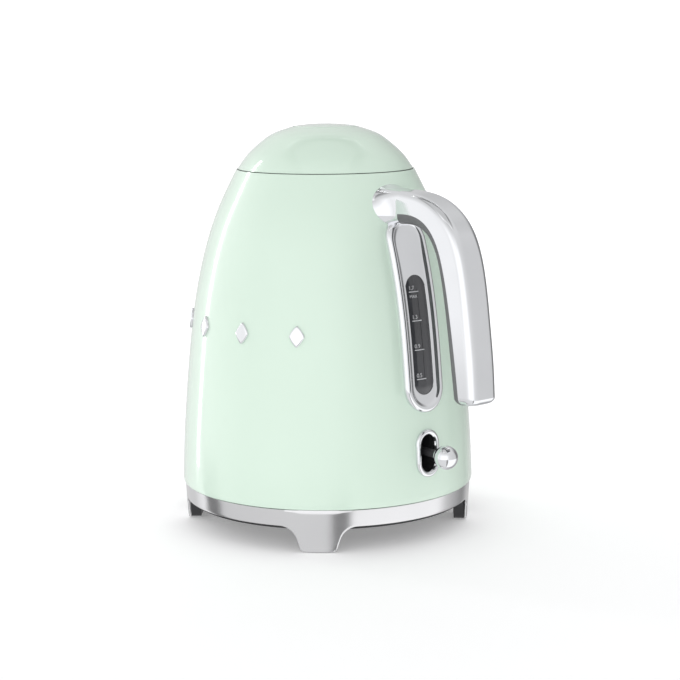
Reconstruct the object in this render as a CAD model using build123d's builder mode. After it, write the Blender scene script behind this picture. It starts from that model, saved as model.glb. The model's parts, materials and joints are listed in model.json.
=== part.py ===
from build123d import *
from math import cos, radians, sin, sqrt
import os

# Cordless retro kettle on its power base, built piece by piece as it would come apart on a bench.
# Millimetres. +Z is up and the origin is on the kettle's axis at the level the feet stand on.
# The handle, level window and switch lever are towards +X, the spout is towards -X
# and the flex enters at +Y.

os.makedirs("parts", exist_ok=True)

# Driving dimensions
body_base_z = 26.7  # lower edge of the painted body
body_rim_z = 220.5  # seam between body and lid
body_wall = 1.2
lid_wall = 2.0
lid_edge_z = 220.9
button_r = 19.2
button_gap = 0.5
crown_z = 248.0
floor_z = 78.5  # top of the boiler floor
mouth_r = 46.0

# Outlines of the painted surfaces, as (radius, height).
body_outline = [
    (91.2, body_base_z),
    (90.3, 50.0),
    (88.3, 80.0),
    (85.6, 110.0),
    (81.75, 140.0),
    (75.4, 170.0),
    (67.2, 195.0),
    (55.0, body_rim_z),
]
lid_outline = [(54.1, lid_edge_z), (47.3, 230.2), (38.2, 238.2), (27.6, 244.0), (19.7, 246.4)]

# Power base
skirt_top_r = 90.0
skirt_foot_r = 88.6
skirt_top_z = 26.2
skirt_edge_z = 15.8
skirt_wall = 1.2
foot_clearance = 0.6  # the metal feet stop this far above the floor
foot_angles = [45, 135, 225, 315]
tray_top_z = 24.6
cover_plate_z = 14.0
drum_r = 50.0
drum_floor_z = 3.6
tower_r = 17.0
tower_top_z = 42.0
flex_r = 3.4  # radius of the mains flex that the gland takes
glide_in_r = 56.0
glide_out_r = 64.0
glide_top_z = 27.2

# Switch and window, both on the +X side
switch_z = 55.4
lever_pivot = (76.0, 57.0)  # x, z
lever_droop = 3.6  # degrees below level when off
ball_x = 105.7
ball_r = 7.25
window_low_z = 90.7
window_high_z = 161.2
window_width = 15.4
bezel_width = 30.0
bezel_low_z = 80.0
bezel_high_z = 196.0
bezel_rise = 3.2

# Lid hinge, on the +X side
hinge_x = 46.5
hinge_z = 222.5
knuckle_r = 2.4
hinge_pin_r = 1.2
running = 0.05  # radial running clearance


def save(piece, name):
    """Labels a finished piece and writes it as its own STEP file."""
    piece.part.label = name
    export_step(piece.part, f"parts/{name}.step")


def moved_out(outline, offset):
    """The outline moved along the wall's normal by offset, each point staying at its own height."""
    points = []
    for i, (r, z) in enumerate(outline):
        r0, z0 = outline[max(i - 1, 0)]
        r1, z1 = outline[min(i + 1, len(outline) - 1)]
        slope = (r1 - r0) / (z1 - z0)
        points.append((r + offset * sqrt(1 + slope * slope), z))
    return points


def bullet(offset, outline=body_outline):
    """A solid of revolution bounded by an outline moved out by offset."""
    points = moved_out(outline, offset)
    with BuildPart() as solid:
        with BuildSketch(Plane.XZ):
            with BuildLine():
                Spline(*points)
                Line(points[-1], (0, points[-1][1]))
                Line((0, points[-1][1]), (0, points[0][1]))
                Line((0, points[0][1]), points[0])
            make_face()
        revolve(axis=Axis.Z)
    return solid.part


def ring_between(outline, wall):
    """A revolved wall of even thickness under an outline, as a part."""
    outer = moved_out(outline, 0)
    inner = moved_out(outline, -wall)
    with BuildPart() as solid:
        with BuildSketch(Plane.XZ):
            with BuildLine():
                Spline(*outer)
                Line(outer[-1], inner[-1])
                Spline(*inner)
                Line(inner[0], outer[0])
            make_face()
        revolve(axis=Axis.Z)
    return solid.part


def turned(points, start=0, arc=360):
    """A part turned about the kettle's axis from an (r, z) polygon."""
    with BuildPart() as solid:
        with BuildSketch(Plane.XZ):
            with BuildLine():
                Polyline(*points, close=True)
            make_face()
        revolve(axis=Axis.Z, revolution_arc=arc)
    part = solid.part
    return part.rotate(Axis.Z, start) if start else part


def pill(width, low, high, near, far):
    """A round-ended block of that width between two heights, running along X from near to far."""
    with BuildPart() as solid:
        with BuildSketch(Plane.YZ.offset(near)):
            with Locations((0, (low + high) / 2)):
                SlotOverall(high - low, width, rotation=90)
        extrude(amount=far - near)
    return solid.part


def coil(radius, wire, low, high, turns):
    """A compression spring about the Z axis."""
    with BuildPart() as solid:
        with BuildLine():
            path = Helix((high - low - wire) / turns, high - low - wire, radius)
        with BuildSketch(Plane(origin=path @ 0, z_dir=path % 0)):
            Circle(wire / 2)
        sweep(path=path, is_frenet=True)
    return solid.part.moved(Location((0, 0, low + wire / 2)))


body_outside = bullet(0)
body_inside = bullet(-body_wall)

# POWER BASE ========================================================================================


def foot_outline(inset=0.0):
    """Sketch outline of one foot: flat sole, rounded toes, hollow curves up into the skirt."""
    sole, toe, knee, top = 10.9 - inset, 2.6, 7.7, 23.4 - inset
    low, high = foot_clearance, skirt_edge_z + 0.2
    with BuildSketch() as sketch:
        with BuildLine():
            sole_line = Line((-sole + toe, low), (sole - toe, low))
            right_toe = TangentArc(sole_line @ 1, (sole + 0.4, low + toe), tangent=(1, 0))
            right_leg = Line(right_toe @ 1, (sole + 2.1, low + knee))
            right_hip = TangentArc(right_leg @ 1, (top, high), tangent=right_leg % 1)
            top_line = Line(right_hip @ 1, (-top, high))
            left_leg_top = (-(sole + 2.1), low + knee)
            left_leg = Line(left_leg_top, (-(sole + 0.4), low + toe))
            TangentArc(left_leg @ 0, top_line @ 1, tangent=(-(left_leg % 0).X, -(left_leg % 0).Y))
            TangentArc(sole_line @ 0, left_leg @ 1, tangent=(-1, 0))
        make_face()
    return sketch.sketch


foot_face = foot_outline()
liner_face = foot_outline(inset=0.5)


def foot_blocks(face, near, far):
    """The foot outline pushed through the skirt at each corner, between two radii."""
    blocks = []
    for angle in foot_angles:
        across = Vector(-sin(radians(angle)), cos(radians(angle)), 0)
        outward = Vector(cos(radians(angle)), sin(radians(angle)), 0)
        plane = Plane(origin=outward * near, x_dir=across, z_dir=outward)
        blocks.append(extrude(plane * face, amount=far - near))
    return blocks


skirt_cone = turned(
    [
        (skirt_foot_r, foot_clearance),
        (skirt_top_r, skirt_top_z),
        (skirt_top_r - skirt_wall, skirt_top_z),
        (skirt_foot_r - skirt_wall, foot_clearance),
    ]
)
band_above_feet = turned([(0, skirt_edge_z), (100, skirt_edge_z), (100, 40), (0, 40)])
feet_keep = foot_blocks(foot_face, 80, 95)
with BuildPart() as base_skirt:
    add(band_above_feet)
    add(feet_keep)
    add(skirt_cone, mode=Mode.INTERSECT)
save(base_skirt, "base_skirt")

screw_ring_r = 38.0
tray_disc = turned(
    [
        (tower_r + 0.3, 22.2),
        (glide_in_r - 1, 22.2),
        (glide_in_r - 1, 20.6),
        (86.9, 20.6),
        (86.9, 17.0),
        (88.0, 17.0),
        (88.4, tray_top_z),
        (glide_out_r + 0.4, tray_top_z),
        (glide_out_r + 0.4, 22.6),
        (glide_in_r - 0.4, 22.6),
        (glide_in_r - 0.4, tray_top_z),
        (tower_r + 4, tray_top_z),
        (tower_r + 0.3, tray_top_z - 1),
    ]
)
with BuildPart() as base_tray:
    add(tray_disc)
    with BuildSketch(Plane.XY.offset(22.2)):
        with PolarLocations(screw_ring_r, 4):
            Circle(3.6)
    extrude(amount=-(22.2 - drum_floor_z - 2.1))
    with BuildSketch(Plane.XY.offset(drum_floor_z + 2.1)):
        with PolarLocations(screw_ring_r, 4):
            Circle(1.3)
    extrude(amount=10, mode=Mode.SUBTRACT)
save(base_tray, "base_tray")

gland_axis_z = 8.8
pad_r = 83.5
drum_and_plate = turned(
    [
        (0, drum_floor_z),
        (drum_r, drum_floor_z),
        (drum_r, cover_plate_z),
        (86.6, cover_plate_z),
        (86.6, cover_plate_z + 2),
        (drum_r - 2, cover_plate_z + 2),
        (drum_r - 2, drum_floor_z + 2),
        (0, drum_floor_z + 2),
    ]
)
lug_outline = [
    (drum_r - 1, drum_floor_z),
    (63, drum_floor_z),
    (63, drum_floor_z + 1.6),
    (drum_r - 1, drum_floor_z + 1.6),
]
winding_lugs = [turned(lug_outline, start=lug * 90 + 33, arc=24) for lug in range(4)]
foot_stock = foot_blocks(liner_face, 78, 90)
foot_limit = turned([(80.5, 0), (86.9, 0), (87.3, cover_plate_z + 1), (80.5, cover_plate_z + 1)])
with BuildPart() as base_cover:
    add(foot_stock)
    add(foot_limit, mode=Mode.INTERSECT)
    add(drum_and_plate)
    add(winding_lugs)
    with BuildSketch():
        with PolarLocations(pad_r, 4, start_angle=45):
            RectangleRounded(4.2, 12.2, 1.5)
    extrude(amount=2.6, mode=Mode.SUBTRACT)
    with BuildSketch(Plane.XY.offset(drum_floor_z)):
        with PolarLocations(screw_ring_r, 4):
            Circle(1.7)
        with PolarLocations(29, 12):
            Circle(1.5)
    extrude(amount=3, mode=Mode.SUBTRACT)
    with BuildSketch(Plane.XZ.offset(-drum_r - 1)):
        with Locations((0, gland_axis_z)):
            Circle(4.6)
    extrude(amount=6, mode=Mode.SUBTRACT)
save(base_cover, "base_cover")

with BuildPart() as foot_pads:
    with BuildSketch():
        with PolarLocations(pad_r, 4, start_angle=45):
            RectangleRounded(4.0, 12.0, 1.4)
    extrude(amount=2.5)
    chamfer(foot_pads.edges().group_by(Axis.Z)[0], 0.3)
save(foot_pads, "foot_pads")

with BuildPart() as base_screws:
    with BuildSketch(Plane.XY.offset(drum_floor_z - 1.6)):
        with PolarLocations(screw_ring_r, 4):
            Circle(2.9)
    extrude(amount=1.6)
    with BuildSketch(Plane.XY.offset(drum_floor_z)):
        with PolarLocations(screw_ring_r, 4):
            Circle(1.25)
    extrude(amount=10)
    with BuildSketch(Plane.XY.offset(drum_floor_z - 1.6)):
        with PolarLocations(screw_ring_r, 4):
            Rectangle(3.6, 0.8)
            Rectangle(0.8, 3.6)
    extrude(amount=0.8, mode=Mode.SUBTRACT)
save(base_screws, "base_screws")

groove_radii = [8.5, 13.2]  # middle radius of each annular contact slot
groove_width = 2.2
with BuildPart() as base_connector:
    with BuildSketch(Plane.XY.offset(16)):
        Circle(tower_r)
    extrude(amount=tower_top_z - 16)
    chamfer(base_connector.edges().group_by(Axis.Z)[-1], 1.2)
    with BuildSketch(Plane.XY.offset(16.1)):
        Circle(23)
    extrude(amount=2)
    with BuildSketch(Plane.XY.offset(tower_top_z)):
        Circle(2.6)
    extrude(amount=-18, mode=Mode.SUBTRACT)
    for radius in groove_radii:
        with BuildSketch(Plane.XY.offset(tower_top_z)):
            Circle(radius + groove_width / 2)
            Circle(radius - groove_width / 2, mode=Mode.SUBTRACT)
        extrude(amount=-18, mode=Mode.SUBTRACT)
save(base_connector, "base_connector")

with BuildPart() as base_contacts:
    for radius in groove_radii:
        with BuildSketch(Plane.XY.offset(24.0)):
            Circle(radius + groove_width / 2)
            Circle(radius + groove_width / 2 - 0.4, mode=Mode.SUBTRACT)
        extrude(amount=9)
    with BuildSketch(Plane.XY.offset(24.0)):
        Circle(2.6)
        Circle(2.2, mode=Mode.SUBTRACT)
    extrude(amount=9)
save(base_contacts, "base_contacts")

with BuildPart() as cord_gland:
    with BuildSketch(Plane.XZ.offset(-44.2)):
        with Locations((0, gland_axis_z + 0.8)):
            RectangleRounded(12, 7.6, 1.5)
    extrude(amount=-3.2)
    with BuildSketch(Plane.XZ.offset(-47.3)):
        with Locations((0, gland_axis_z)):
            Circle(4.5)
    extrude(amount=-8.7)
    with BuildSketch(Plane.XZ.offset(-drum_r - 0.4)):
        with Locations((0, gland_axis_z)):
            Circle(5.1)
    extrude(amount=-1.6)
    with BuildSketch(Plane.XZ.offset(-40)):
        with Locations((0, gland_axis_z)):
            Circle(flex_r)
    extrude(amount=-30, mode=Mode.SUBTRACT)
save(cord_gland, "cord_gland")

with BuildPart() as glide_ring:
    with BuildSketch(Plane.XY.offset(22.6)):
        Circle(glide_out_r)
        Circle(glide_in_r, mode=Mode.SUBTRACT)
    extrude(amount=glide_top_z - 22.6)
    with BuildSketch(Plane.XY.offset(22.6)):
        Circle(glide_out_r - 3)
        Circle(glide_in_r + 3, mode=Mode.SUBTRACT)
    extrude(amount=1.6, mode=Mode.SUBTRACT)
save(glide_ring, "glide_ring")

# KETTLE BODY =======================================================================================

window_hole = pill(window_width + 1.2, window_low_z - 0.6, window_high_z + 0.6, 50, 110)
window_body = pill(window_width, window_low_z, window_high_z, 50, 110)
seal_body = pill(window_width + 4.0, window_low_z - 2.0, window_high_z + 2.0, 50, 110)
bezel_body = pill(bezel_width, bezel_low_z, bezel_high_z, 50, 110)
bezel_rim_hole = pill(bezel_width - 5, bezel_low_z + 2.5, bezel_high_z - 2.5, 50, 110)
slot_low_z = switch_z - 11.5
slot_high_z = switch_z + 11.5
slot_opening = pill(11.0, slot_low_z, slot_high_z, 60, 110)
liner_body = pill(13.4, slot_low_z - 1.2, slot_high_z + 1.2, 70, 110)
lever_rim_body = pill(18.0, switch_z - 14.35, switch_z + 14.35, 60, 110)

skin_out_1 = bullet(1.0)
skin_out_rim = bullet(bezel_rise)
skin_out_channel = bullet(1.3)
skin_out_lever = bullet(2.3)
skin_in_seal = bullet(-body_wall - 1.6)
skin_in_window = bullet(-body_wall - 3.2)

# A beak-shaped spout: two nested lofts, the inner one open at the lip and into the boiler.
spout_root = Plane(origin=(-50, 0, 183), x_dir=(0, 1, 0), z_dir=(-0.86, 0, 0.51))
spout_lip = Plane(origin=(-84, 0, 203.2), x_dir=(0, 1, 0), z_dir=(-0.86, 0, 0.51))
with BuildPart() as spout_stock:
    with BuildSketch(spout_root):
        Ellipse(24, 20)
    with BuildSketch(spout_lip):
        Ellipse(9.0, 7.0)
    loft()
with BuildPart() as spout_bore:
    with BuildSketch(spout_root):
        Ellipse(22.2, 18.2)
    with BuildSketch(spout_lip):
        Ellipse(7.4, 5.4)
    loft()
spout_solid = spout_stock.part
spout_hole = spout_bore.part

# The lid's rear edge dips inside the mouth as it opens, so the rim is thinned from within.
rim_rebate = turned([(50, 214), (54.4, 214), (54.4, 222), (50, 222)])
screw_ys = [-7.0, 7.0]
screw_z = 203.0
with BuildPart() as body_shell:
    add(body_outside)
    add(body_inside, mode=Mode.SUBTRACT)
    add(window_hole, mode=Mode.SUBTRACT)
    add(liner_body, mode=Mode.SUBTRACT)
    add(spout_hole, mode=Mode.SUBTRACT)
    with BuildSketch(Plane.YZ.offset(50)):
        with Locations(*[(y, screw_z) for y in screw_ys]):
            Circle(2.1)
    extrude(amount=30, mode=Mode.SUBTRACT)
    add(rim_rebate, mode=Mode.SUBTRACT)
save(body_shell, "body_shell")

with BuildPart() as spout:
    add(spout_solid)
    add(spout_hole, mode=Mode.SUBTRACT)
    add(body_outside, mode=Mode.SUBTRACT)
save(spout, "spout")

mesh_frame_x = -46.0
with BuildPart() as filter_frame:
    with BuildSketch(Plane.XY.offset(166)):
        with Locations((-60, 0)):
            Rectangle(28, 46)
        with Locations((-62, 0)):
            Rectangle(28, 42, mode=Mode.SUBTRACT)
    extrude(amount=46)
    add(body_inside, mode=Mode.INTERSECT)
    with BuildSketch(Plane.YZ.offset(-60)):
        with Locations((0, 189)):
            RectangleRounded(32, 36, 3)
    extrude(amount=20, mode=Mode.SUBTRACT)
save(filter_frame, "filter_frame")

with BuildPart() as filter_mesh:
    with BuildSketch(Plane.YZ.offset(mesh_frame_x - 1.2)):
        with Locations((0, 189)):
            RectangleRounded(31.9, 35.9, 3)
        with Locations((0, 189)):
            with GridLocations(2.6, 2.6, 11, 12):
                Rectangle(1.7, 1.7, mode=Mode.SUBTRACT)
    extrude(amount=0.5)
save(filter_mesh, "filter_mesh")

with BuildPart() as boiler_floor:
    with BuildSketch(Plane.XY.offset(floor_z - 1.5)):
        Circle(100)
    extrude(amount=1.5)
    add(body_inside, mode=Mode.INTERSECT)
save(boiler_floor, "boiler_floor")

with BuildPart() as heating_element:
    with BuildLine(Plane.XY.offset(floor_z - 5.6)):
        element_path = CenterArc((0, 0), 46, 20, 320)
    with BuildSketch(Plane(origin=element_path @ 0, z_dir=element_path % 0)):
        Circle(3.9)
    sweep(path=element_path)
save(heating_element, "heating_element")

housing_plate = turned(
    [
        (21.4, 27.6),
        (87.0, 27.6),
        (87.6, 35.0),
        (85.4, 35.0),
        (85.0, 29.8),
        (26.0, 29.8),
        (26.0, 34.0),
        (21.4, 34.0),
    ]
)
with BuildPart() as lower_housing:
    add(housing_plate)
    with BuildSketch(Plane.XY.offset(29.0)):
        with PolarLocations(72, 3, start_angle=60):
            Circle(4.2)
    extrude(amount=47.9)
    with BuildSketch(Plane.XY.offset(27.6)):
        with PolarLocations(72, 3, start_angle=60):
            Circle(1.6)
    extrude(amount=20, mode=Mode.SUBTRACT)
save(lower_housing, "lower_housing")

with BuildPart() as housing_screws:
    with BuildSketch(Plane.XY.offset(27.6)):
        with PolarLocations(72, 3, start_angle=60):
            Circle(1.55)
    extrude(amount=14)
    with BuildSketch(Plane.XY.offset(26.9)):
        with PolarLocations(72, 3, start_angle=60):
            Circle(3.0)
    extrude(amount=0.7)
    with BuildSketch(Plane.XY.offset(26.9)):
        with PolarLocations(72, 3, start_angle=60):
            Rectangle(4.0, 0.9)
            Rectangle(0.9, 4.0)
    extrude(amount=0.4, mode=Mode.SUBTRACT)
save(housing_screws, "housing_screws")

# The socket swivels in the housing's collar: a flange above the collar carries it when lifted.
socket_cup = turned(
    [
        (17.7, 27.9),
        (21.34, 27.9),
        (21.34, 34.3),
        (24.5, 34.3),
        (24.5, 46.6),
        (0, 46.6),
        (0, 43.0),
        (17.7, 43.0),
    ]
)
with BuildPart() as socket_body:
    add(socket_cup)
save(socket_body, "socket_body")

with BuildPart() as socket_prongs:
    for radius in groove_radii:
        with BuildSketch(Plane.XY.offset(28.5)):
            Circle(radius + 0.35)
            Circle(radius - 0.35, mode=Mode.SUBTRACT)
        extrude(amount=14.5)
    with BuildSketch(Plane.XY.offset(28.5)):
        Circle(1.7)
    extrude(amount=14.5)
save(socket_prongs, "socket_prongs")

with BuildPart() as thermostat:
    with BuildSketch(Plane.XY.offset(50.0)):
        RectangleRounded(52, 44, 6)
    extrude(amount=14)
    with BuildSketch(Plane.XY.offset(64.0)):
        Circle(15)
    extrude(amount=6)
save(thermostat, "thermostat")

with BuildPart() as bimetal_disc:
    with BuildSketch(Plane.XY.offset(70.4)):
        Circle(13)
    extrude(amount=0.6)
    with BuildSketch(Plane.XY.offset(71.0)):
        Circle(6)
    extrude(amount=5.8)
save(bimetal_disc, "bimetal_disc")

with BuildPart() as steam_tube:
    with BuildLine():
        tube_path = Line((30, -30, floor_z), (30, -30, 206))
    with BuildSketch(Plane(origin=tube_path @ 0, z_dir=tube_path % 0)):
        Circle(3.2)
        Circle(2.4, mode=Mode.SUBTRACT)
    sweep(path=tube_path)
save(steam_tube, "steam_tube")

# Level window and its surround
with BuildPart() as window_bezel:
    add(skin_out_rim)
    add(bezel_body, mode=Mode.INTERSECT)
    add(bezel_rim_hole, mode=Mode.SUBTRACT)
    add(body_outside, mode=Mode.SUBTRACT)
window_rim = window_bezel.part
with BuildPart() as window_bezel:
    add(skin_out_channel)
    add(bezel_rim_hole, mode=Mode.INTERSECT)
    add(body_outside, mode=Mode.SUBTRACT)
    add(window_hole, mode=Mode.SUBTRACT)
    add(window_rim)
save(window_bezel, "window_bezel")

with BuildPart() as level_window:
    add(skin_out_1)
    add(window_body, mode=Mode.INTERSECT)
    add(skin_in_window, mode=Mode.SUBTRACT)
save(level_window, "level_window")

with BuildPart() as window_seal:
    add(body_inside)
    add(seal_body, mode=Mode.INTERSECT)
    add(skin_in_seal, mode=Mode.SUBTRACT)
    add(window_body, mode=Mode.SUBTRACT)
save(window_seal, "window_seal")

mark_stock = bullet(1.12)
mark_heights = [100.2, 117.5, 134.7, 151.7]
with BuildPart() as gauge_marks:
    with BuildSketch(Plane.YZ.offset(60)):
        with Locations(*[(-2.4, z) for z in mark_heights]):
            Rectangle(7.0, 0.7)
    extrude(amount=40)
    add(mark_stock, mode=Mode.INTERSECT)
    add(skin_out_1, mode=Mode.SUBTRACT)
save(gauge_marks, "gauge_marks")

# Switch
with BuildPart() as lever_bezel:
    add(skin_out_lever)
    add(lever_rim_body, mode=Mode.INTERSECT)
    add(slot_opening, mode=Mode.SUBTRACT)
    add(body_outside, mode=Mode.SUBTRACT)
save(lever_bezel, "lever_bezel")

with BuildPart() as lever_pocket:
    add(liner_body)
    add(slot_opening, mode=Mode.SUBTRACT)
    add(body_outside, mode=Mode.INTERSECT)
    with BuildSketch(Plane.XZ.offset(-10)):
        with Locations(lever_pivot):
            Circle(1.5)
    extrude(amount=20, mode=Mode.SUBTRACT)
save(lever_pocket, "lever_pocket")

with BuildPart() as lever_pin:
    with BuildSketch(Plane.XZ.offset(-6.7)):
        with Locations(lever_pivot):
            Circle(1.5)
    extrude(amount=13.4)
save(lever_pin, "lever_pin")

droop = radians(lever_droop)
lever_dir = Vector(cos(droop), 0, -sin(droop))
lever_reach = (ball_x - lever_pivot[0]) / cos(droop)
pivot_point = Vector(lever_pivot[0], 0, lever_pivot[1])
with BuildPart() as lever_arm:
    with BuildSketch(Plane.XZ.offset(-5.1)):
        with Locations(lever_pivot):
            Circle(3.9)
    extrude(amount=10.2)
    with BuildSketch(Plane(origin=pivot_point - lever_dir * 13, x_dir=(0, 1, 0), z_dir=lever_dir)):
        RectangleRounded(5.2, 4.2, 1.4)
    extrude(amount=lever_reach + 13 - 0.1)
    with BuildSketch(Plane.XZ.offset(-10)):
        with Locations(lever_pivot):
            Circle(1.5 + running)
    extrude(amount=20, mode=Mode.SUBTRACT)
save(lever_arm, "lever_arm")

with BuildPart() as lever_ball:
    with Locations(pivot_point + lever_dir * lever_reach):
        Sphere(ball_r)
    with BuildSketch(Plane(origin=pivot_point + lever_dir * 10, x_dir=(0, 1, 0), z_dir=lever_dir)):
        RectangleRounded(5.2, 4.2, 1.4)
    extrude(amount=lever_reach - 10, mode=Mode.SUBTRACT)
save(lever_ball, "lever_ball")

# Handle: a bow that springs from the shoulder and hangs free over the switch
handle_outer_edge = [
    (75.0, 211.2),
    (91.5, 209.3),
    (103.0, 205.3),
    (113.0, 198.5),
    (120.5, 189.5),
    (125.8, 178.0),
    (130.6, 158.0),
    (133.8, 136.0),
    (136.8, 112.0),
    (137.9, 96.0),
]
handle_inner_edge = [
    (75.0, 191.6),
    (88.0, 191.2),
    (97.0, 187.2),
    (103.5, 179.5),
    (108.5, 166.0),
    (112.8, 144.0),
    (116.2, 121.0),
    (119.9, 95.4),
]
inner_low_edge = [
    (74.0, 190.0),
    (88.0, 189.6),
    (95.5, 185.8),
    (101.9, 178.3),
    (106.9, 165.2),
    (111.2, 143.4),
    (114.6, 120.4),
    (118.6, 88.0),
]
inner_high_edge = [
    (74.0, 195.0),
    (88.8, 194.6),
    (99.0, 190.0),
    (106.5, 181.2),
    (111.6, 167.0),
    (115.9, 144.8),
    (119.5, 121.8),
    (124.4, 88.0),
]
handle_half_width = 10.8
with BuildPart() as handle_stock:
    with BuildSketch(Plane.XZ.offset(-handle_half_width)):
        with BuildLine():
            outer_edge = Spline(*handle_outer_edge, tangents=[(1, 0), (0.05, -1)])
            inner_edge = Spline(*handle_inner_edge, tangents=[(1, 0), (0.14, -1)])
            corner_out = TangentArc(outer_edge @ 1, (133.2, 90.5), tangent=outer_edge % 1)
            corner_in = TangentArc(inner_edge @ 1, (124.4, 90.5), tangent=inner_edge % 1)
            Line(corner_out @ 1, corner_in @ 1)
            Line(outer_edge @ 0, inner_edge @ 0)
        make_face()
    extrude(amount=2 * handle_half_width)
    long_edges = handle_stock.edges().filter_by(lambda e: abs(abs(e.center().Y) - handle_half_width) < 0.01)
    fillet(long_edges.filter_by(lambda e: e.center().X > 76), 4.2)
handle_solid = handle_stock.part
with BuildPart() as inner_stock:
    with BuildSketch(Plane.XZ.offset(-handle_half_width)):
        with BuildLine():
            low_edge = Spline(*inner_low_edge)
            high_edge = Spline(*inner_high_edge)
            Line(low_edge @ 0, high_edge @ 0)
            Line(low_edge @ 1, high_edge @ 1)
        make_face()
    extrude(amount=2 * handle_half_width)
inner_solid = inner_stock.part
with BuildPart() as handle_bow:
    add(handle_solid)
    add(inner_solid, mode=Mode.SUBTRACT)
save(handle_bow, "handle_bow")

with BuildPart() as handle_inner:
    add(inner_solid)
    add(handle_solid, mode=Mode.INTERSECT)
save(handle_inner, "handle_inner")

root_bed = bullet(0.05)  # the root stands a hair off the enamel
with BuildPart() as handle_root:
    with BuildSketch(Plane.YZ.offset(56)):
        with Locations((0, 201.0)):
            Ellipse(17.4, 13.0)
    with BuildSketch(Plane.YZ.offset(66.0)):
        with Locations((0, 201.2)):
            Ellipse(15.6, 11.8)
    with BuildSketch(Plane.YZ.offset(75)):
        with Locations((0, 201.4)):
            RectangleRounded(21.6, 19.6, 6)
    loft()
    add(root_bed, mode=Mode.SUBTRACT)
    add(window_bezel.part, mode=Mode.SUBTRACT)
    with BuildSketch(Plane.YZ.offset(55)):
        with Locations(*[(y, screw_z) for y in screw_ys]):
            Circle(1.7)
    extrude(amount=16, mode=Mode.SUBTRACT)
save(handle_root, "handle_root")

with BuildPart() as handle_screws:
    with BuildSketch(Plane.YZ.offset(59.0)):
        with Locations(*[(y, screw_z) for y in screw_ys]):
            Circle(1.65)
    extrude(amount=11.8)
    with BuildSketch(Plane.YZ.offset(57.4)):
        with Locations(*[(y, screw_z) for y in screw_ys]):
            Circle(3.4)
    extrude(amount=1.8)
save(handle_screws, "handle_screws")

# Mouth of the kettle and the lid's hinge bracket
ring_dip = turned([(0, 0), (8.5, 0), (8.5, 60), (0, 60)]).moved(
    Location((hinge_x, 30, hinge_z), (90, 0, 0))
)
ring_profile = turned([(mouth_r - 3, 213.6), (60, 213.6), (60, 220.0), (mouth_r - 3, 220.0)])
with BuildPart() as mouth_ring:
    add(ring_profile)
    add(body_inside, mode=Mode.INTERSECT)
    add(ring_dip, mode=Mode.SUBTRACT)
    with BuildSketch(Plane.XY.offset(213)):
        with Locations((-44.65, 0)):
            Rectangle(1.5, 13)
    extrude(amount=10, mode=Mode.SUBTRACT)
save(mouth_ring, "mouth_ring")

with BuildPart() as lid_catch:
    with BuildSketch(Plane.YZ.offset(-45.4)):
        with Locations((0, 221)):
            Rectangle(13, 14.2)
        with Locations((0, 224.9)):
            Rectangle(9.2, 4.4, mode=Mode.SUBTRACT)
    extrude(amount=1.5)
save(lid_catch, "lid_catch")

arm_outline = [
    (hinge_x + 0.5, hinge_z - 2.3),
    (hinge_x - 1.5, hinge_z + 1.8),
    (hinge_x - 7.6, hinge_z - 1.0),
    (hinge_x - 9.4, hinge_z - 5.0),
    (hinge_x - 9.4, 209.4),
    (hinge_x - 2.0, 209.4),
    (hinge_x - 2.0, 212.4),
    (hinge_x - 6.0, 212.4),
    (hinge_x - 6.0, hinge_z - 6.0),
    (hinge_x - 4.6, hinge_z - 3.6),
]
with BuildPart() as hinge_bracket:
    with BuildSketch(Plane.XZ.offset(-10.5)):
        with Locations(((hinge_x + 70) / 2, 210.9)):
            Rectangle(70 - hinge_x + 8, 3)
    extrude(amount=21)
    add(body_inside, mode=Mode.INTERSECT)
    with BuildSketch(Plane.XZ.offset(-10.5)):
        with BuildLine():
            Polyline(*arm_outline, close=True)
        make_face()
        with Locations((hinge_x, hinge_z)):
            Circle(knuckle_r)
    extrude(amount=21)
    with BuildSketch(Plane.XZ.offset(-12)):
        with Locations((hinge_x, hinge_z)):
            Circle(hinge_pin_r)
    extrude(amount=24, mode=Mode.SUBTRACT)
    with BuildSketch(Plane.XZ.offset(-7.0)):
        with Locations((hinge_x - 5, 218.9)):
            Rectangle(60, 13)
    extrude(amount=14, mode=Mode.SUBTRACT)
save(hinge_bracket, "hinge_bracket")

with BuildPart() as hinge_pin:
    with BuildSketch(Plane.XZ.offset(-10.5)):
        with Locations((hinge_x, hinge_z)):
            Circle(hinge_pin_r)
    extrude(amount=21)
save(hinge_pin, "hinge_pin")

# Four plain raised lozenges on the side that faces -Y
stud_z = 128.5
stud_step = 24.5
stud_skin = bullet(1.5)
stud_cutters = []
for stud in range(4):
    stud_angle = radians(-90 + (stud - 1.5) * stud_step)
    stud_out = Vector(cos(stud_angle), sin(stud_angle), 0)
    stud_across = Vector(-sin(stud_angle), cos(stud_angle), 0)
    stud_plane = Plane(origin=stud_out * 60 + Vector(0, 0, stud_z), x_dir=stud_across, z_dir=stud_out)
    stud_cutters.append(extrude(stud_plane * Polygon((-4.6, 0), (0, -6.3), (4.6, 0), (0, 6.3)), amount=40))
with BuildPart() as trim_studs:
    add(stud_cutters)
    add(stud_skin, mode=Mode.INTERSECT)
    add(body_outside, mode=Mode.SUBTRACT)
save(trim_studs, "trim_studs")

# LID ===============================================================================================

lid_solid = bullet(-0.6, lid_outline)
dome_wall = ring_between(lid_outline, lid_wall)
lid_post_r = 33.0
with BuildPart() as lid_dome:
    with BuildSketch(Plane.XY.offset(223.4)):
        with PolarLocations(lid_post_r, 3):
            Circle(3.0)
    extrude(amount=20)
    add(lid_solid, mode=Mode.INTERSECT)
    add(dome_wall)
    with BuildSketch(Plane.XY.offset(223.4)):
        with PolarLocations(lid_post_r, 3):
            Circle(1.2)
    extrude(amount=9.6, mode=Mode.SUBTRACT)
    with BuildSketch(Plane.XY.offset(235)):
        Circle(button_r + button_gap)
    extrude(amount=20, mode=Mode.SUBTRACT)
save(lid_dome, "lid_dome")

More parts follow.
